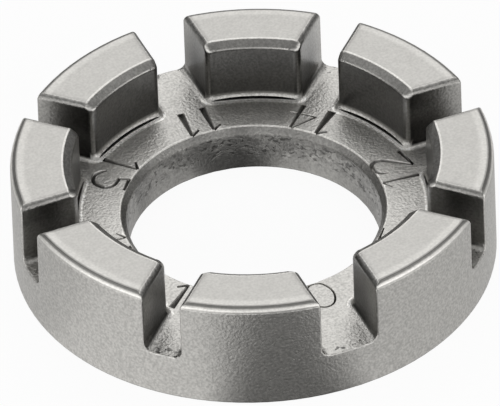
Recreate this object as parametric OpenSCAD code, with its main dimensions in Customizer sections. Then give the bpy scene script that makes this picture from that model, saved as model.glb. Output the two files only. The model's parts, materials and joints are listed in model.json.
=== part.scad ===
// Round spoke wrench: one steel casting, a flat ring that carries eight jaw blocks.
// The gap between two neighbouring blocks is a slot that grips the flats of a spoke nipple.
// Frame: +Z up, origin at the centre of the foot, slot for 10 gauge nipples towards -Y.

/* [Ring] */
// Outer diameter at the foot
ring_d = 46; // [42:0.5:56]
// Height from the foot to the top of the jaw blocks
ring_h = 11.3; // [9:0.1:15]
// Thickness of the ring under the slots and the ledge
floor_h = 4.7; // [3.2:0.1:6]
// Diameter of the centre bore
bore_d = 24; // [18:0.2:28]
// Radial thickness of the jaw blocks at the foot
jaw_t = 6; // [4.5:0.1:8]
// How far the outer wall leans in over the full height
wall_lean = 0.15; // [0.05:0.05:0.8]

/* [Slots] */
// Slot for 10 gauge nipples, across the flats
flats_10 = 5.6; // [5:0.1:6.4]
// Slot for 11 gauge nipples, across the flats
flats_11 = 5; // [4.5:0.1:5.8]
// Slot for 12 gauge nipples, across the flats
flats_12 = 4.4; // [3.9:0.1:5]
// Slot for 13 gauge nipples, across the flats
flats_13 = 3.9; // [3.4:0.1:4.6]
// Slot for 14 gauge nipples, across the flats
flats_14 = 3.7; // [3.2:0.1:4.2]
// Slot for oversize 14 gauge nipples, across the flats
flats_14_wide = 3.9; // [3.6:0.1:4.4]
// Slot for 15 gauge nipples, across the flats
flats_15 = 3.3; // [2.8:0.1:3.8]
// Slot for oversize 15 gauge nipples, across the flats
flats_15_wide = 3.6; // [3.2:0.1:4]

/* [Edges] */
// Radius of the outer top edge of the blocks
crown_round = 0.65; // [0.4:0.05:1.3]
// Width of the bevel on the inner top edge of the blocks
crown_bevel = 0.9; // [0.4:0.05:1.3]
// Depth of the same bevel
crown_drop = 0.6; // [0.4:0.05:1.3]
// Radius of the top edges beside each slot
mouth_round = 0.65; // [0.2:0.05:0.9]
// Radius of the upright block corners that face the centre
jaw_round = 0.6; // [0.4:0.05:1]
// Bevel of the upright block corners on the outside
jaw_bevel = 0.25; // [0.15:0.05:0.6]
// Radius where the slot walls meet the slot floors
root_round = 0.8; // [0.3:0.05:0.9]
// Radius where the inner faces of the blocks meet the ledge
ledge_round = 0.7; // [0.4:0.05:1.2]
// Flare of the centre bore where it opens to the ledge
bore_flare = 0.65; // [0.3:0.05:1.2]
// Bevel at the lower end of the centre bore
bore_bevel = 0.15; // [0.1:0.05:0.8]
// Bevel around the foot of the ring
foot_bevel = 0.25; // [0.15:0.05:0.8]

/* [Hidden] */
$fn = 96;
// Steps along each small round
round_steps = 4;
// Every cutting shape runs past the metal by this much
overrun = 1;
ring_r = ring_d / 2;
bore_r = bore_d / 2;
jaw_r = ring_r - jaw_t;
lean_a = atan(wall_lean / ring_h);
// Slots in order round the ring, counter-clockwise from -Y
SLOTS = [
    flats_10, flats_15_wide, flats_12, flats_14_wide,
    flats_11, flats_15, flats_13, flats_14
];
pitch_a = 360 / len(SLOTS);

// Radius of the leaning outer wall at height z
function wall_r(z) = ring_r - z * tan(lean_a);

// Points along a small round about [x, y], from one angle to another
function round_points(x, y, radius, from_a, to_a) = [
    for (k = [0 : round_steps])
        let (a = from_a + (to_a - from_a) * k / round_steps)
            [x + radius * cos(a), y + radius * sin(a)]
];

// Centre of the round on the outer top edge: it touches the leaning wall and the flat top
crown_z = ring_h - crown_round;
crown_r = wall_r(crown_z) - crown_round / cos(lean_a);

// Half section of the ring with its blocks, in radius and height, before the slots are cut
module ring_section() {
    polygon(concat(
        [
            [bore_r, bore_bevel],
            [bore_r + bore_bevel, 0],
            [ring_r - foot_bevel, 0],
            [wall_r(foot_bevel), foot_bevel]
        ],
        round_points(crown_r, crown_z, crown_round, lean_a, 90),
        [
            [jaw_r + crown_bevel, ring_h],
            [jaw_r, ring_h - crown_drop]
        ],
        round_points(jaw_r - ledge_round, floor_h + ledge_round, ledge_round, 0, -90),
        [
            [bore_r + bore_flare, floor_h],
            [bore_r, floor_h - bore_flare]
        ]
    ));
}

// Section of the space of one slot, across the flats and up: filleted floor, flared mouth.
// The last step of the mouth runs on past the flat top, at its own slope.
module slot_section(flats) {
    half = flats / 2;
    mouth = round_points(half + mouth_round, ring_h - mouth_round, mouth_round, 180, 90);
    last_step = mouth[round_steps] - mouth[round_steps - 1];
    side = concat(
        round_points(half - root_round, floor_h + root_round, root_round, -90, 0),
        [for (k = [0 : round_steps - 1]) mouth[k]],
        [mouth[round_steps] + last_step]
    );
    other_side = [for (k = [len(side) - 1 : -1 : 0]) [-side[k][0], side[k][1]]];
    polygon(concat(side, other_side));
}

// Bite that rounds one upright inner corner of a block, above the fillets at its foot.
// The first and last steps of the round run on past the walls that they touch.
module corner_bite(flats) {
    foot_z = floor_h + root_round + ledge_round;
    wall_y = flats / 2;
    side_y = wall_y + jaw_round;
    reach_r = jaw_r + jaw_round;
    side_x = sqrt(reach_r * reach_r - side_y * side_y);
    turn_a = atan2(side_y, side_x);
    clear_r = jaw_r - jaw_round;
    bend = round_points(side_x, side_y, jaw_round, 270, 180 + turn_a);
    last = round_steps;
    translate([0, 0, foot_z]) linear_extrude(ring_h) polygon(concat(
        [2 * bend[0] - bend[1]],
        [for (k = [1 : last - 1]) bend[k]],
        [2 * bend[last] - bend[last - 1]],
        [
            [clear_r * cos(turn_a), clear_r * sin(turn_a)],
            [side_x - 2 * jaw_round, wall_y - jaw_round],
            [side_x, wall_y - jaw_round]
        ]
    ));
}

// Bevel of one upright outer corner of a block, set at half the height of the leaning wall
module outer_bevel(flats) {
    half = flats / 2;
    mid_r = wall_r((floor_h + ring_h) / 2);
    edge_x = sqrt(mid_r * mid_r - half * half);
    translate([edge_x, half, floor_h]) linear_extrude(ring_h) circle(jaw_bevel, $fn = 4);
}

// Everything that one slot takes out of the ring, lying along +X
module slot_space(flats) {
    start_x = jaw_r - 2 * ledge_round;
    translate([start_x, 0, 0]) rotate([90, 0, 90]) linear_extrude(jaw_t + 2 * ledge_round + overrun)
        slot_section(flats);
    for (side = [0, 1]) mirror([0, side, 0]) {
        corner_bite(flats);
        outer_bevel(flats);
    }
}

// The casting
module wrench_ring() {
    color("silver") difference() {
        rotate([0, 0, pitch_a / 2]) rotate_extrude() ring_section();
        for (i = [0 : len(SLOTS) - 1]) rotate([0, 0, i * pitch_a - 90]) slot_space(SLOTS[i]);
    }
}

wrench_ring();
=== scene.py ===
import json
from collections import namedtuple
from math import asin, cos, pi, radians, sin

import bmesh
import bpy
from mathutils import Matrix, Vector


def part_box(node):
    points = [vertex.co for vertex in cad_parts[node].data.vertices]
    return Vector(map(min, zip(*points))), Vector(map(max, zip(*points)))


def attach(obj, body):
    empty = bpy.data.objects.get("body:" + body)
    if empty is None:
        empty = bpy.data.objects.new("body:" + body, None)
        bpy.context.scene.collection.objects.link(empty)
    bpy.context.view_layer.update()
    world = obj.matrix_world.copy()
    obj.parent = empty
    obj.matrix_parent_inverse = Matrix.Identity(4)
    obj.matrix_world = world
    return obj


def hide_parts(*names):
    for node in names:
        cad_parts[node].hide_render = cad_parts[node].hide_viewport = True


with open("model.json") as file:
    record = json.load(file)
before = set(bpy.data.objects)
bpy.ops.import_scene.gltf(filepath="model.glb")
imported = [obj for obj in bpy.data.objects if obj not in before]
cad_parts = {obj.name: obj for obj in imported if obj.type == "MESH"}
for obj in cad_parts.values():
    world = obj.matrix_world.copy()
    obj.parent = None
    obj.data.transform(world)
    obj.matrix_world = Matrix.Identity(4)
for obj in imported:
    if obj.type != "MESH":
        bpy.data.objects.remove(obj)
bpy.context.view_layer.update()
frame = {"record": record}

# Wrench ring

# One steel casting: a flat ring that carries eight jaw blocks with a slot between each two.
# It is drawn flat in millimetres, the blocks are pulled up out of the ring, and every edge
# gets the radius that its place on the casting has. Bare metal with a fine blasted skin.
MM = 0.001
mounts = {mount["name"]: mount for mount in frame["record"]["mounts"]}
casting_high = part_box("wrench_ring")[1]
BORE_R = mounts["centre_bore"]["dims"]["r_mm"]
FLOOR_H = round(mounts["slot_10"]["pos_m"][2] / MM, 2)
RING_R = round(casting_high.x / MM, 1)
RING_H = round(casting_high.z / MM, 1)
JAW_R = 17.0
BORE_FLARE = 0.65
BORE_TAPER = 0.1
# How far the outer wall leans in for each millimetre of height
WALL_LEAN = 0.15 / RING_H
# Width and depth of the bevel at the inner top of the blocks
CROWN_BEVEL = 0.9
CROWN_DROP = 0.6
# Slot widths in order round the ring, counter-clockwise from -Y
FLATS = (5.6, 3.6, 4.4, 3.9, 5.0, 3.3, 3.9, 3.7)
# The plan of vertices: its rings' radii, the places of its columns across a slot, from one wall
# at -1 to the other at 1, and its steps along a block
PLAN_RINGS = (BORE_R, 13.8, 15.1, JAW_R, JAW_R + CROWN_BEVEL, 19.5, 21.1, RING_R)
SLOT_COLUMNS = (-1, -0.35, 0.35, 1)
BLOCK_STEPS = 10
# Heights of the rows of vertices up the walls of the blocks
WALL_ROWS = (6.8, 8.8, RING_H)
# Radius at each kind of edge, and the steps that each round is made in
FOOT_ROUND = 0.25
FILLET = 0.75
SLOT_LIP = 0.15
UPRIGHT_INNER = 0.6
UPRIGHT_OUTER = 0.25
CROWN_ROUND = 0.65
SOFT_EDGE = 0.12
MOUTH_ROUND = 0.85
ROUND_STEPS = 4
# The mouth's round has its full radius on edges that run out from the centre as straight as this
MOUTH_FULL = 0.98
# Faces that meet at less than these angles are one curve, need no round, or are shaded as one
CURVE_ANGLE = radians(20)
PLAIN_ANGLE = radians(32)
SHADING_ANGLE = radians(35)
# An edge that rises more than UPRIGHT stands up, and one that stays within WALL_BAND of the rim
# is the outer wall's. Vertices closer than MERGE become one, and radii, heights and directions
# that differ by less than NEAR are the same.
UPRIGHT = 1
WALL_BAND = 0.5
MERGE = 0.001
NEAR = 0.01
# Depth of every stamped line, how high its cutter stands above the metal, and the height at
# which the sloping sides of the cutter turn upright
STAMP_DEPTH = 0.32
STAMP_LIFT = 0.9
STAMP_TURN = 0.02
STROKE_STEPS = 4
# Strokes of each figure, with the group of cuts that each belongs to: strokes that meet are cut
# one after the other. A point is the reader's right, up from the foot, and the line's width.
FIGURES = {
    "0": (
        (0, (0, 3.8, 1), (0.85, 3.35, 1), (1.28, 2, 1), (0.85, 0.65, 1), (0, 0.2, 1),
         (-0.85, 0.65, 1), (-1.28, 2, 1), (-0.85, 3.35, 1), (0, 3.8, 1)),
    ),
    "1": (
        (0, (-0.14, 0.22, 1), (0.14, 3.85, 0.45)),
        (1, (0.14, 3.85, 0.6), (-0.8, 3.25, 0.4)),
    ),
    "2": (
        (0, (1.31, 0.5, 0.9), (-1.18, 0.1, 0.5)),
        (1, (-1.18, 0.1, 0.5), (0.41, 2.15, 1), (0.72, 2.85, 1), (0.69, 3.4, 1),
         (0.27, 3.8, 1), (-0.45, 3.8, 1), (-1.1, 3.4, 0.8), (-1.28, 2.72, 0.4)),
    ),
    "3": (
        (0, (-0.55, 3.7, 0.5), (0.56, 3.7, 0.9)),
        (1, (0.56, 3.7, 0.9), (0, 2.25, 0.9)),
        (0, (0, 2.25, 0.9), (0.65, 2, 1), (1, 1.3, 1), (0.65, 0.45, 1), (-0.2, 0.15, 1),
         (-1, 0.65, 0.4)),
    ),
    "4": (
        (0, (0.45, 0.2, 1.5), (0.43, 3.85, 0.8)),
        (1, (0.29, 3.92, 0.6), (-1.36, 1.48, 0.8)),
        (2, (-1.36, 1.48, 0.8), (1.32, 1.63, 0.6)),
    ),
    "5": (
        (0, (1.06, 3.83, 0.6), (-0.74, 3.66, 0.9)),
        (1, (-0.74, 3.66, 0.9), (-0.5, 2.72, 0.9)),
        (0, (-0.5, 2.72, 0.9), (0.56, 2.62, 1), (1.22, 1.95, 1), (1.1, 1, 1), (0.5, 0.42, 1),
         (-0.3, 0.36, 1), (-0.85, 0.7, 1), (-1.2, 1.15, 0.5)),
    ),
}
# Two figures at each slot: places across the slot and widths of line
NUMBERS = (
    ("1", -1.5, 0.6, "0", 0.6, 0.24),
    ("1", -1.85, 0.5, "5", 0.4, 0.32),
    ("1", -1.85, 0.5, "2", 0.8, 0.55),
    ("1", -1.5, 0.95, "4", 0.85, 0.4),
    ("1", -1.42, 0.75, "1", 0.85, 0.8),
    ("1", -1.9, 0.6, "5", 0.6, 0.5),
    ("1", -1.32, 0.5, "3", 0.65, 0.36),
    ("1", -1.66, 0.7, "4", 0.85, 0.36),
)
NUMBER_R = 16.5
# The thin dark lap in the fillet under each block: its place in the fillet, depth, greatest
# width, share of the block that it runs along, steps to each side, and how far it thins out
LAP_TURN = radians(42)
LAP_DEPTH = 0.45
LAP_WIDTH = 0.28
LAP_SHARE = 0.95
LAP_STEPS = 6
LAP_THINNING = 0.8

Reach = namedtuple("Reach", "near far low high")


def slot_angle(i):
    """Direction of slot i, counter-clockwise from the first one at -Y."""
    return radians(360 / len(FLATS) * i - 90)


def block_span(i, radius):
    """Angles at which the block after slot i starts and ends, at one distance from the axis."""
    start = slot_angle(i) + asin(FLATS[i] / 2 / radius)
    end = slot_angle(i + 1) - asin(FLATS[(i + 1) % len(FLATS)] / 2 / radius)
    return start, end


def column_angles(radius):
    """Angles of all columns of the plan at one radius: slot walls run parallel to the slot's axis."""
    angles = []
    for i, flats in enumerate(FLATS):
        start, end = block_span(i, radius)
        angles += [slot_angle(i) + asin(side * flats / 2 / radius) for side in SLOT_COLUMNS]
        angles += [start + (end - start) * k / BLOCK_STEPS for k in range(1, BLOCK_STEPS)]
    return angles + [angles[0] + 2 * pi]


def in_slot(point):
    """True if a point of the plan lies between the walls of a slot."""
    for i, flats in enumerate(FLATS):
        a = slot_angle(i)
        along = point.x * cos(a) + point.y * sin(a)
        across = abs(point.y * cos(a) - point.x * sin(a))
        if along > 0 and across < flats / 2:
            return True
    return False


def under_block(face):
    """True for a face of the plate's upper side that a block rises from."""
    middle = face.calc_center_median()
    return face.normal.z > 0.9 and middle.xy.length > JAW_R and not in_slot(middle)


def reach(edge):
    """Nearest and farthest distance from the axis, and lowest and highest height, of an edge."""
    radii = sorted(v.co.xy.length for v in edge.verts)
    heights = sorted(v.co.z for v in edge.verts)
    return Reach(*radii, *heights)


def stands(edge):
    """True for an upright edge."""
    return reach(edge).high - reach(edge).low > UPRIGHT


def edge_radius(edge):
    """Radius of the round that an outer edge of the casting gets, 0 for none."""
    span = reach(edge)
    if edge.calc_face_angle(0) < PLAIN_ANGLE:
        return 0
    if span.high < NEAR:
        return FOOT_ROUND
    if span.near > RING_R - WALL_BAND:
        if span.low > RING_H - NEAR:
            return CROWN_ROUND
        return UPRIGHT_OUTER if stands(edge) else SLOT_LIP
    if span.low > RING_H - CROWN_DROP - NEAR:
        # the mouth's round dies away round the inner corner of the block
        ends = [v.co.xy for v in edge.verts]
        outward = abs((ends[1] - ends[0]).normalized().dot((ends[1] + ends[0]).normalized()))
        return SOFT_EDGE + (MOUTH_ROUND - SOFT_EDGE) * min(1, outward / MOUTH_FULL) ** 2
    return SOFT_EDGE


def is_sharp(edge):
    """True where two faces meet at a real edge, not along an arc."""
    return edge.calc_face_angle(0) > CURVE_ANGLE


def inner_corners(bm):
    """Upright edges of the blocks that face the centre."""
    upright = [e for e in bm.edges if stands(e) and is_sharp(e)]
    return [e for e in upright if abs(reach(e).far - JAW_R) < NEAR]


def bevel_edges(bm, edges, width, steps=ROUND_STEPS):
    """Rounds edges of bm, or fills them where they are inside corners. One step makes a flat."""
    bmesh.ops.bevel(
        bm, geom=edges, offset=width, segments=steps, profile=0.5, affect="EDGES", material=-1
    )


def stroke_path(points):
    """Points along a stroke: a smooth curve through three or more points, else a straight line."""
    ends = [Vector(point) for point in points]
    if len(ends) == 2:
        return ends
    path = []
    last = len(ends) - 1
    closed = points[0] == points[-1]
    for k in range(last):
        b, c = ends[k], ends[k + 1]
        a = ends[k - 1] if k else ends[-2] if closed else b
        d = ends[k + 2] if k + 2 <= last else ends[1] if closed else c
        for n in range(STROKE_STEPS):
            t = n / STROKE_STEPS
            pull = (c - a) * t + (2 * a - 5 * b + 4 * c - d) * t**2 + (3 * b - a - 3 * c + d) * t**3
            path.append(b + pull / 2)
    return path if closed else path + [ends[-1]]


def add_groove(bm, line, depth, closed):
    """Adds the cutter of a V groove: line has a point, the way out and a width for every step."""
    rows = []
    for k, (point, out, width) in enumerate(line):
        before = line[k - 1][0] if k or closed else point
        after = line[(k + 1) % len(line)][0] if k < len(line) - 1 or closed else point
        side = (after - before).cross(out).normalized() * width / 2
        foot = out * -min(depth, width)
        turn = out * STAMP_TURN
        lift = out * STAMP_LIFT
        corners = (foot, side + turn, side + lift, lift - side, turn - side)
        rows.append([bm.verts.new(point + corner) for corner in corners])
    pairs = list(zip(rows, rows[1:] + rows[:1]))
    for a, b in pairs if closed else pairs[:-1]:
        for j in range(len(a)):
            n = (j + 1) % len(a)
            bm.faces.new((a[j], a[n], b[n], b[j]))
    if not closed:
        bm.faces.new(rows[0])
        bm.faces.new(rows[-1])


def new_object(name, bm):
    """Object with the given name from a bmesh, which is freed."""
    mesh = bpy.data.meshes.new(name)
    bm.to_mesh(mesh)
    bm.free()
    obj = bpy.data.objects.new(name, mesh)
    bpy.context.scene.collection.objects.link(obj)
    return obj


def apply_modifiers(obj):
    """Puts what the modifiers of obj make into its mesh."""
    bpy.context.view_layer.update()
    shaped = bpy.data.meshes.new_from_object(obj.evaluated_get(bpy.context.evaluated_depsgraph_get()))
    obj.modifiers.clear()
    obj.data = shaped


# The plan is drawn at the height of the ledge, and pulled down to a plate
bm = bmesh.new()
plan = [column_angles(radius) for radius in PLAN_RINGS]
columns = len(plan[0])
bmesh.ops.create_grid(bm, x_segments=columns - 1, y_segments=len(PLAN_RINGS) - 1, size=1)
bm.verts.ensure_lookup_table()
for k, vert in enumerate(bm.verts):
    row, column = divmod(k, columns)
    a = plan[row][column]
    vert.co = (PLAN_RINGS[row] * cos(a), PLAN_RINGS[row] * sin(a), FLOOR_H)
bmesh.ops.remove_doubles(bm, verts=bm.verts, dist=MERGE)
plate = bmesh.ops.extrude_face_region(bm, geom=bm.faces[:])
for part in plate["geom"]:
    if isinstance(part, bmesh.types.BMVert):
        part.co.z = 0
bmesh.ops.recalc_face_normals(bm, faces=bm.faces)
# The blocks rise row by row, so that their walls have a few rows of faces
blocks = [face for face in bm.faces if under_block(face)]
for foot_row, top_row in zip((FLOOR_H,) + WALL_ROWS, WALL_ROWS):
    pulled = bmesh.ops.extrude_face_region(bm, geom=blocks)["geom"]
    bmesh.ops.delete(bm, geom=blocks, context="FACES")
    blocks = [part for part in pulled if isinstance(part, bmesh.types.BMFace)]
    tops = [part for part in pulled if isinstance(part, bmesh.types.BMVert)]
    bmesh.ops.translate(bm, verts=tops, vec=(0, 0, top_row - foot_row))
# The outer wall leans in
for vert in bm.verts:
    if vert.co.xy.length > RING_R - NEAR:
        vert.co.xy *= 1 - WALL_LEAN * vert.co.z / RING_R
# The bore flares where it opens to the ledge, and widens a little towards the flare
bore_tops = [e for e in bm.edges if reach(e).low > FLOOR_H - NEAR and reach(e).far < BORE_R + NEAR]
bevel_edges(bm, bore_tops, BORE_FLARE, steps=1)
for vert in bm.verts:
    if abs(vert.co.z - FLOOR_H + BORE_FLARE) < NEAR:
        vert.co.xy *= 1 + BORE_TAPER / BORE_R
bmesh.ops.recalc_face_normals(bm, faces=bm.faces)
# The floor's own edges end short of the corner feet, so that the fillets run round them
feet = [v for e in inner_corners(bm) for v in e.verts if abs(v.co.z - FLOOR_H) < NEAR]
loose = [e for e in bm.edges if e.calc_face_angle(1) < NEAR and reach(e).high < FLOOR_H + NEAR]
loose = [e for e in loose if any(v in feet for v in e.verts)]
bmesh.ops.dissolve_edges(bm, edges=loose, use_verts=False)
bevel_edges(bm, inner_corners(bm), UPRIGHT_INNER)
roots = [e for e in bm.edges if is_sharp(e) and not e.is_convex and abs(reach(e).high - FLOOR_H) < NEAR]
bevel_edges(bm, roots, FILLET)
# The inner top of the blocks is cut down to a cone
for vert in bm.verts:
    from_edge = JAW_R + CROWN_BEVEL - vert.co.xy.length
    if vert.co.z > RING_H - NEAR and from_edge > NEAR:
        vert.co.z -= from_edge * CROWN_DROP / CROWN_BEVEL
bm.normal_update()
# Every outer edge gets a round of its own radius
weights = bm.edges.layers.float.new("bevel_weight_edge")
for edge in bm.edges:
    edge[weights] = edge_radius(edge)
ring = new_object("ring_casting", bm)
rounds = ring.modifiers.new("rounds", "BEVEL")
rounds.limit_method = "WEIGHT"
rounds.width = 1.0
rounds.segments = ROUND_STEPS
rounds.use_clamp_overlap = False
apply_modifiers(ring)

# The stamped figures and the laps are cut out in three groups
groups = [bmesh.new(), bmesh.new(), bmesh.new()]
for i, (left, left_x, left_width, right, right_x, right_width) in enumerate(NUMBERS):
    inward = Vector((-cos(slot_angle(i)), -sin(slot_angle(i)), 0))
    across = Vector((inward.y, -inward.x, 0))
    foot = Vector((0, 0, FLOOR_H)) - inward * NUMBER_R
    for figure, middle, width in ((left, left_x, left_width), (right, right_x, right_width)):
        for group, *points in FIGURES[figure]:
            stroke = [
                (foot + across * (p.x + middle) + inward * p.y, Vector((0, 0, 1)), width * p.z)
                for p in stroke_path(points)
            ]
            add_groove(groups[group], stroke, STAMP_DEPTH, closed=points[0] == points[-1])
    start, end = block_span(i, JAW_R)
    lap = []
    for k in range(-LAP_STEPS, LAP_STEPS + 1):
        a = (start + end) / 2 + (end - start) / 2 * LAP_SHARE * k / LAP_STEPS
        away = Vector((cos(a), sin(a), 0))
        out = Vector((0, 0, cos(LAP_TURN))) - away * sin(LAP_TURN)
        fillet_axis = away * (JAW_R - FILLET) + Vector((0, 0, FLOOR_H + FILLET))
        thin = LAP_THINNING * (k / LAP_STEPS) ** 4
        lap.append((fillet_axis - out * FILLET, out, LAP_WIDTH * (1 - thin)))
    add_groove(groups[2], lap, LAP_DEPTH, closed=False)
for bm in groups:
    bmesh.ops.recalc_face_normals(bm, faces=bm.faces)
    cutter = new_object("cutter", bm)
    cut = ring.modifiers.new("cut", "BOOLEAN")
    cut.operation = "DIFFERENCE"
    cut.solver = "MANIFOLD"
    cut.object = cutter
    apply_modifiers(ring)
    bpy.data.objects.remove(cutter)

# From millimetres to metres, with smooth shading that keeps the real edges
bm = bmesh.new()
bm.from_mesh(ring.data)
for face in bm.faces:
    face.smooth = True
for edge in bm.edges:
    edge.smooth = edge.calc_face_angle(0) < SHADING_ANGLE
bmesh.ops.scale(bm, verts=bm.verts, vec=(MM, MM, MM))
bm.to_mesh(ring.data)
bm.free()
normals = ring.modifiers.new("normals", "WEIGHTED_NORMAL")
normals.keep_sharp = True


def add(tree, kind, inputs, **settings):
    """Adds a shader node, with values or links for its inputs, and returns its first output."""
    made = tree.nodes.new(kind)
    for name, value in settings.items():
        setattr(made, name, value)
    for name, value in inputs.items():
        if isinstance(value, bpy.types.NodeSocket):
            tree.links.new(value, made.inputs[name])
        else:
            made.inputs[name].default_value = value
    return made.outputs[0]


def calc(tree, operation, a, b=0.0):
    """Adds a math node."""
    return add(tree, "ShaderNodeMath", {0: a, 1: b}, operation=operation)


def product(tree, *values):
    """Multiplies any number of values. A product of masks is 1 only where all of them are 1."""
    result = values[0]
    for value in values[1:]:
        result = calc(tree, "MULTIPLY", result, value)
    return result


def apart(tree, a, b):
    """Adds the distance between two numbers."""
    return calc(tree, "ABSOLUTE", calc(tree, "SUBTRACT", a, b))


def step(tree, value, start, end, low=0.0, high=1.0):
    """Adds a soft step: low where value is at start or before, high at end or past it."""
    ends = {"Value": value, "From Min": start, "From Max": end, "To Min": low, "To Max": high}
    if start > end:
        ends.update({"From Min": end, "From Max": start, "To Min": high, "To Max": low})
    return add(tree, "ShaderNodeMapRange", ends, interpolation_type="SMOOTHSTEP")


def mix(tree, share, a, b):
    """Adds a mix of two numbers: a where share is 0, b where it is 1."""
    return add(tree, "ShaderNodeMix", {"Factor": share, "A": a, "B": b})


def scaled(tree, value, share, factor):
    """Adds a value that is multiplied by factor where share is 1, and kept where it is 0."""
    return calc(tree, "MULTIPLY", value, mix(tree, share, 1.0, factor))


def measure(tree, operation, a, b=(0, 0, 0)):
    """Adds a vector math node that gives a number: a length or a dot product."""
    return add(tree, "ShaderNodeVectorMath", {0: a, 1: b}, operation=operation).node.outputs["Value"]


def noise(tree, place, scale, detail=2.0):
    """Adds a noise texture, scale in bumps for each millimetre."""
    return add(tree, "ShaderNodeTexNoise", {"Vector": place, "Scale": scale, "Detail": detail})


# Tones of the bare steel, and of the shade and highlights painted on it, from 0 for black to 1 for
# white
LEDGE_TONE = 0.61
TOP_TONE = 0.53
OUTER_TONE = 0.5
BEVEL_TONE = 0.36
BEVEL_END_HIGHLIGHT_TONE = 0.45
MOUTH_SHADE_TONE = 0.24
CORNER_SHADE_TONE = 0.24
FILLET_HIGHLIGHT_TONE = 0.95
BORE_TONE = 0.3
EDGE_HIGHLIGHT_TONE = 0.8
LAP_SHADE_TONE = 0.03
# Painted shade on the walls: their tone at the foot and at the top
INNER_WALL_SHADES = (0.07, 0.15)
SLOT_WALL_SHADES = (0.08, 0.24)
# What the tone is multiplied by at small features: painted shadow, shade and highlights, and the chips
# and pits
FOOT_SHADOW = 0.4
RIM_SHADE = 0.62
SHINE_HIGHLIGHT = 1.18
SHADE_LINE = 0.55
HIGHLIGHT_LINE = 1.5
STAMP_SHADE = 0.3
CHIP = 0.3
PIT = 0.5
# The shares of its tone that the steel has in red, green and blue: a little warm
STEEL_TINT = (1, 0.98, 0.935)
ROUGHNESS = 0.42
RECESS_ROUGHNESS = 0.28
# Depths of the relief in the skin, in millimetres
GRAIN_DEPTH = 0.06
SMOOTH_DEPTH = 0.02
CROWN_DEPTH = 0.007
DENT_DEPTH = 0.03
STREAK_DEPTH = 0.12
PIT_DEPTH = 0.08

steel = bpy.data.materials.new("cast_steel")
steel.use_nodes = True
tree = steel.node_tree
skin = tree.nodes["Principled BSDF"]
coords = tree.nodes.new("ShaderNodeTexCoord")
to_millimetres = {0: coords.outputs["Object"], "Scale": 1 / MM}
place = add(tree, "ShaderNodeVectorMath", to_millimetres, operation="SCALE")
flat = add(tree, "ShaderNodeVectorMath", {0: place, 1: (1, 1, 0)}, operation="MULTIPLY")
radial = add(tree, "ShaderNodeVectorMath", {0: flat}, operation="NORMALIZE")
# Where a point lies: its radius and height, its distances from the bore, from the inner side of
# the blocks and from the outer rim, its height over the ledge, and how far under the top it is
radius = measure(tree, "LENGTH", flat)
height = measure(tree, "DOT_PRODUCT", place, (0, 0, 1))
from_bore = calc(tree, "SUBTRACT", radius, BORE_R)
from_jaw = calc(tree, "SUBTRACT", radius, JAW_R)
from_rim = calc(tree, "SUBTRACT", RING_R, radius)
over = calc(tree, "SUBTRACT", height, FLOOR_H)
under = calc(tree, "SUBTRACT", RING_H, height)
# How much its surface looks away from the axis, up, and sideways along the ring
outward = measure(tree, "DOT_PRODUCT", coords.outputs["Normal"], radial)
rise = measure(tree, "DOT_PRODUCT", coords.outputs["Normal"], (0, 0, 1))
sideways = calc(tree, "SUBTRACT", 1.0, calc(tree, "MULTIPLY", outward, outward))
sideways = calc(tree, "SUBTRACT", sideways, calc(tree, "MULTIPLY", rise, rise))

# The masks below are soft steps, multiplied where several must hold. The two numbers of a step
# are the values between which it changes: millimetres for a place, from -1 to 1 for the way
# that a surface looks, and from 0 to 1 for a noise.

# The broad faces: ledge, tops, outer wall and bevel
flats = product(tree, step(tree, rise, 0.9, 0.95), step(tree, under, 0.5, 0.3))
tone = mix(tree, flats, LEDGE_TONE, TOP_TONE)
tone = mix(tree, step(tree, outward, 0.6, 0.9), tone, OUTER_TONE)
bevel = product(tree, step(tree, under, 0.7, 0.6), step(tree, outward, -0.2, -0.4))
tone = mix(tree, bevel, tone, BEVEL_TONE)
# Painted shade: steep faces that don't look outwards are darker, most at their foot and away from the
# rim: slot walls, inner walls and the corners between them. The bore is darker too.
steep = step(tree, calc(tree, "ABSOLUTE", rise), 0.92, 0.5)
shut = product(tree, steep, step(tree, outward, 0.75, 0.4))
raised = product(tree, step(tree, outward, -0.3, -0.15), step(tree, over, 0.0, 0.15))
raised = calc(tree, "MAXIMUM", raised, step(tree, over, 0.3, 0.9))
shaded_recess = product(tree, shut, raised, step(tree, from_rim, 0.2, 3.4, low=0.5))
inner_wall_shade = step(tree, over, 0.3, 6.1, *INNER_WALL_SHADES)
slot_wall_shade = step(tree, over, 1.8, 6.1, *SLOT_WALL_SHADES)
tone = mix(tree, shaded_recess, tone, mix(tree, step(tree, outward, -0.5, -0.3), inner_wall_shade, slot_wall_shade))
# Painted shade in the upright corners between the slot walls and the inner walls
shaded_corner = product(tree, step(tree, outward, -0.3, -0.45), step(tree, outward, -0.9, -0.75))
tone = mix(tree, product(tree, shaded_corner, steep, raised), tone, CORNER_SHADE_TONE)
bore = step(tree, from_bore, 0.75, 0.55)
# Painted highlight at the start of the fillets under the blocks, and painted shadow on the bevel round
# the foot
fillet_highlight = product(
    tree,
    step(tree, outward, -0.03, -0.08),
    step(tree, outward, -0.35, -0.25),
    step(tree, over, 0.2, 0.15),
)
tone = mix(tree, fillet_highlight, tone, FILLET_HIGHLIGHT_TONE)
tone = mix(tree, bore, tone, BORE_TONE)
# Painted shadow along the foot of the outer wall
foot_shadow = product(tree, step(tree, height, 0.25, 0.1), step(tree, rise, -0.95, -0.85))
tone = scaled(tree, tone, foot_shadow, FOOT_SHADOW)
# Painted shade and highlight on the rounds along the tops: dark beside the slots, a dark line over a
# bright one on the outside
top = step(tree, under, 0.9, 0.6)
mouth_shade = product(
    tree,
    top,
    step(tree, outward, 0.6, 0.4),
    step(tree, outward, -0.35, -0.2),
    step(tree, rise, 0.94, 0.72),
    step(tree, rise, 0.2, 0.5),
)
tone = mix(tree, mouth_shade, tone, MOUTH_SHADE_TONE)
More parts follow.
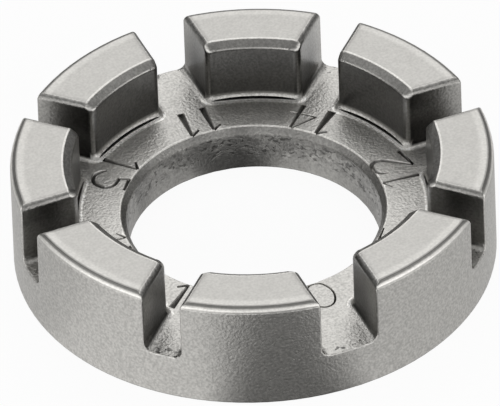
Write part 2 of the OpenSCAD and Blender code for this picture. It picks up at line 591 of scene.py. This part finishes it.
# Painted shade along the outer margin of the tops, with a painted highlight just inside it
rim_shade = product(tree, flats, step(tree, from_rim, 0.85, 0.7))
tone = scaled(tree, tone, rim_shade, RIM_SHADE)
shine_highlight = product(tree, flats, step(tree, from_rim, 1.7, 1.2), step(tree, from_rim, 0.75, 0.9))
tone = scaled(tree, tone, shine_highlight, SHINE_HIGHLIGHT)
# A painted shade line over a painted highlight line on the outer round of the crown
shade_line = product(tree, step(tree, rise, 0.985, 0.95), step(tree, rise, 0.78, 0.86))
shade_line = product(tree, shade_line, top, step(tree, outward, 0.15, 0.3))
tone = scaled(tree, tone, shade_line, SHADE_LINE)
outside = product(tree, top, step(tree, outward, 0.2, 0.4))
highlight_line = product(tree, outside, step(tree, rise, 0.78, 0.7), step(tree, rise, 0.25, 0.5))
tone = scaled(tree, tone, highlight_line, HIGHLIGHT_LINE)
# Painted highlights: the two edges of the bevel and the edge of the bore are bright, and the bevel's
# ends, where it turns into the slots, are a little lighter than the bevel
upper_edge = step(tree, apart(tree, from_jaw, CROWN_BEVEL), 0.14, 0.05)
upper_edge = product(tree, upper_edge, step(tree, under, 0.2, 0.15))
lower_edge = step(tree, apart(tree, under, CROWN_DROP), 0.12, 0.04, high=0.3)
inner_side = product(tree, step(tree, from_jaw, 0.25, 0.15), step(tree, outward, -0.4, -0.6))
lower_edge = product(tree, lower_edge, inner_side)
bore_edge = step(tree, apart(tree, from_bore, BORE_FLARE), 0.14, 0.05)
bore_edge = product(tree, bore_edge, step(tree, over, -0.1, -0.05))
edge_highlight = calc(tree, "MAXIMUM", calc(tree, "MAXIMUM", upper_edge, lower_edge), bore_edge)
tone = mix(tree, edge_highlight, tone, EDGE_HIGHLIGHT_TONE)
# Painted highlight at the bevel's ends
bevel_end_highlight = product(
    tree,
    top,
    step(tree, outward, -0.22, -0.3),
    step(tree, sideways, 0.08, 0.25),
    step(tree, rise, 0.3, 0.5),
)
tone = mix(tree, bevel_end_highlight, tone, BEVEL_END_HIGHLIGHT_TONE)
# Painted shade: stamped lines and laps are black inside. On the ledge, the slot floors and every
# fillet, the height follows from the slope, so that a point below that height is inside a groove.
due_height = calc(tree, "MULTIPLY", calc(tree, "SUBTRACT", 1.0, rise), FILLET)
below = product(
    tree,
    step(tree, calc(tree, "SUBTRACT", due_height, over), 0.04, 0.12),
    step(tree, over, -0.7, -0.6),
    step(tree, from_jaw, 0.3, 0.2),
    step(tree, from_bore, 0.7, 0.8),
)
stamp_shade = product(tree, below, step(tree, over, -0.01, -0.15))
lap_shade = product(tree, below, step(tree, from_jaw, -0.65, -0.6))
tone = scaled(tree, tone, stamp_shade, STAMP_SHADE)
tone = mix(tree, lap_shade, tone, LAP_SHADE_TONE)
# A few dark chips along the outer lips of the slots
chips = product(
    tree,
    step(tree, noise(tree, place, scale=1.6), 0.59, 0.66),
    step(tree, from_rim, 1.8, 0.8),
    step(tree, over, 0.5, 0.2),
    step(tree, rise, 0.3, 0.5),
)
tone = scaled(tree, tone, chips, CHIP)
# Fine blasted grain everywhere, leathery dents on the ledge, and in the bore pits and streaks
# that are wider than they are high
grain = noise(tree, place, scale=4.0)
blots = noise(tree, place, scale=1.0)
dents = noise(tree, place, scale=1.9)
wide = add(tree, "ShaderNodeVectorMath", {0: place, 1: (1, 1, 1.5)}, operation="MULTIPLY")
streaks = noise(tree, wide, scale=1.0, detail=3.0)
pits = step(tree, noise(tree, wide, scale=1.7, detail=3.0), 0.54, 0.65)
patches = step(tree, noise(tree, flat, scale=0.22, detail=1.0), 0.35, 0.65, low=0.85, high=1.15)
torn = product(
    tree,
    step(tree, calc(tree, "ADD", height, blots), 1.7, 2.5),
    step(tree, over, -0.6, -1.0),
    step(tree, from_bore, 0.2, 0.1),
)
crown = product(tree, outside, step(tree, rise, 0.05, 0.2))
ledge = product(tree, step(tree, over, 0.6, 0.2), step(tree, rise, 0.7, 0.9))
speck = mix(tree, calc(tree, "MAXIMUM", flats, crown), 1.0, 0.4)
speck = product(tree, step(tree, grain, 0.25, 0.75, low=-0.17, high=0.17), speck)
tone = product(tree, tone, calc(tree, "ADD", speck, 1.0))
tone = product(tree, tone, step(tree, blots, 0.25, 0.75, low=0.97, high=1.03))
tone = scaled(tree, tone, product(tree, torn, pits), PIT)
tone = scaled(tree, tone, torn, step(tree, streaks, 0.3, 0.7, low=0.8, high=1.2))
tone = scaled(tree, tone, bore, patches)
grain_depth = mix(tree, calc(tree, "MAXIMUM", shaded_recess, flats), GRAIN_DEPTH, SMOOTH_DEPTH)
grain_depth = mix(tree, crown, grain_depth, CROWN_DEPTH)
relief = product(tree, grain, grain_depth)
relief = calc(tree, "ADD", relief, product(tree, dents, ledge, DENT_DEPTH))
relief = calc(tree, "ADD", relief, product(tree, streaks, torn, STREAK_DEPTH))
relief = calc(tree, "SUBTRACT", relief, product(tree, pits, torn, PIT_DEPTH))
colour = add(
    tree,
    "ShaderNodeCombineColor",
    {channel: product(tree, tone, share) for channel, share in enumerate(STEEL_TINT)},
)
bump = add(tree, "ShaderNodeBump", {"Height": relief, "Distance": MM, "Strength": 1.0})
tree.links.new(colour, skin.inputs["Base Color"])
tree.links.new(mix(tree, shaded_recess, ROUGHNESS, RECESS_ROUGHNESS), skin.inputs["Roughness"])
tree.links.new(bump, skin.inputs["Normal"])
skin.inputs["Metallic"].default_value = 1
ring.data.materials.clear()
ring.data.materials.append(steel)
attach(ring, "root")
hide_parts("wrench_ring")

# Floor

# A plain white studio floor that keeps the wrench's shadow. The camera sees it nearly white. In
# the metal it is bright to the front left and the back right, and dark in front and behind.
FLOOR_SIZE = 1.5
FLOOR_TONE = 0.95
# Share of plain white in what the camera sees: the rest is the paint, with the shadow on it
CAMERA_GLOW = 0.94
# What the metal sees: the floor's plain level, and what is left of it in the dark directions
PLAIN_GLOW = 0.76
DARK_SHARE = 0.2
# The bright and the dark directions, counter-clockwise from -Y
BRIGHT_WAY = radians(-56)
DARK_WAY = radians(-15)


def towards(angle):
    """Level direction at an angle that runs counter-clockwise from -Y."""
    return Vector((sin(angle), -cos(angle), 0))


bm = bmesh.new()
bmesh.ops.create_grid(bm, x_segments=1, y_segments=1, size=FLOOR_SIZE)
floor = new_object("studio_floor", bm)
paint = bpy.data.materials.new("floor_white")
paint.use_nodes = True
tree = paint.node_tree
coat = tree.nodes["Principled BSDF"]
coat.inputs["Base Color"].default_value = (FLOOR_TONE, FLOOR_TONE, FLOOR_TONE, 1)
coat.inputs["Roughness"].default_value = 1
coat.inputs["Specular IOR Level"].default_value = 0
glow = tree.nodes.new("ShaderNodeEmission")
rays = tree.nodes.new("ShaderNodeLightPath")
floor_place = tree.nodes.new("ShaderNodeTexCoord").outputs["Object"]
way = add(tree, "ShaderNodeVectorMath", {0: floor_place}, operation="NORMALIZE")
to_bright = calc(tree, "ABSOLUTE", measure(tree, "DOT_PRODUCT", way, towards(BRIGHT_WAY)))
to_dark = calc(tree, "ABSOLUTE", measure(tree, "DOT_PRODUCT", way, towards(DARK_WAY)))
bright = step(tree, to_bright, 0.84, 0.98, low=PLAIN_GLOW)
dimmed = step(tree, to_dark, 0.925, 0.995, low=1.0, high=DARK_SHARE)
mirrored = calc(tree, "ADD", rays.outputs["Is Glossy Ray"], rays.outputs["Is Transmission Ray"])
seen = calc(tree, "ADD", mirrored, product(tree, rays.outputs["Is Camera Ray"], CAMERA_GLOW))
tree.links.new(mix(tree, mirrored, 1.0, product(tree, bright, dimmed)), glow.inputs["Strength"])
blend = tree.nodes.new("ShaderNodeMixShader")
tree.links.new(seen, blend.inputs[0])
tree.links.new(coat.outputs[0], blend.inputs[1])
tree.links.new(glow.outputs[0], blend.inputs[2])
tree.links.new(blend.outputs[0], tree.nodes["Material Output"].inputs["Surface"])
floor.data.materials.append(paint)

# Light

# Soft studio light from a sky that is bright low in front, dim overhead and bright again high
# behind. The horizon behind and the two sides beside it are dark, and a gap low in front is dim.
SIDE_LEVEL = 0.1
GAP_SHARE = 0.4
# How steeply the front changes into the back at the two sides
SIDE_TURN = 4.0
# The way to the camera, counter-clockwise from -Y, which is also the front of the sky
AZIMUTH = radians(-21.87)
# Brightness along an arc over the top, from 0 at the horizon in front to 1 at the one behind
SKY_ARC = (
    (0, 2.2),
    (0.12, 1.8),
    (0.2, 0.5),
    (0.32, 0.45),
    (0.38, 0.35),
    (0.52, 0.35),
    (0.6, 1.3),
    (0.88, 1.3),
    (0.94, 0.2),
    (1, 0.15),
)

world = bpy.data.worlds.new("studio")
bpy.context.scene.world = world
world.use_nodes = True
sky = world.node_tree
direction = sky.nodes.new("ShaderNodeTexCoord").outputs["Generated"]
climb = measure(sky, "DOT_PRODUCT", direction, (0, 0, 1))
to_front = measure(sky, "DOT_PRODUCT", direction, towards(AZIMUTH))
to_side = calc(sky, "ABSOLUTE", measure(sky, "DOT_PRODUCT", direction, towards(AZIMUTH + pi / 2)))
facing = calc(sky, "MAXIMUM", calc(sky, "MULTIPLY", to_front, SIDE_TURN), -1.0)
facing = calc(sky, "MINIMUM", facing, 1.0)
level_part = calc(sky, "SQRT", calc(sky, "SUBTRACT", 1.0, calc(sky, "MULTIPLY", climb, climb)))
turn = calc(sky, "ARCTAN2", climb, calc(sky, "MULTIPLY", level_part, facing))
arc = sky.nodes.new("ShaderNodeValToRGB")
for k, (position, level) in enumerate(SKY_ARC):
    if k > 1:
        arc.color_ramp.elements.new(position)
    arc.color_ramp.elements[k].position = position
    arc.color_ramp.elements[k].color = (level, level, level, 1)
sky.links.new(calc(sky, "DIVIDE", turn, pi), arc.inputs["Fac"])
sides = product(sky, step(sky, to_side, 0.3, 0.55), step(sky, to_front, -0.1, -0.4))
brightness = mix(sky, sides, arc.outputs["Color"], SIDE_LEVEL)
gap = step(sky, measure(sky, "DOT_PRODUCT", direction, towards(DARK_WAY)), 0.88, 0.98)
gap = product(sky, gap, step(sky, climb, 0.45, 0.3))
brightness = scaled(sky, brightness, gap, GAP_SHARE)
sky.links.new(brightness, sky.nodes["Background"].inputs["Color"])

# Camera

# The photograph's view: a long lens, from the front left and above, rolled by two degrees and
# aimed a little above the middle of the foot.
ELEVATION = radians(39.11)
ROLL = radians(-2.16)
DISTANCE = 0.76
# Where the lens aims, to the right and up in its own picture from the origin
AIM_RIGHT = -0.000335
AIM_UP = 0.00418
LENS = 574.5

back = towards(AZIMUTH) * cos(ELEVATION) + Vector((0, 0, sin(ELEVATION)))
right = towards(AZIMUTH + pi / 2)
up = back.cross(right)
turned_right = right * cos(ROLL) + up * sin(ROLL)
turned_up = up * cos(ROLL) - right * sin(ROLL)
lens = bpy.data.cameras.new("camera")
lens.lens = LENS
lens.sensor_width = 36
lens.clip_start = 0.01
lens.clip_end = 10
camera = bpy.data.objects.new("camera", lens)
bpy.context.scene.collection.objects.link(camera)
pose = Matrix((turned_right, turned_up, back)).transposed().to_4x4()
pose.translation = back * DISTANCE + right * AIM_RIGHT + up * AIM_UP
camera.matrix_world = pose
bpy.context.scene.camera = camera
bpy.context.scene.view_settings.view_transform = "Standard"
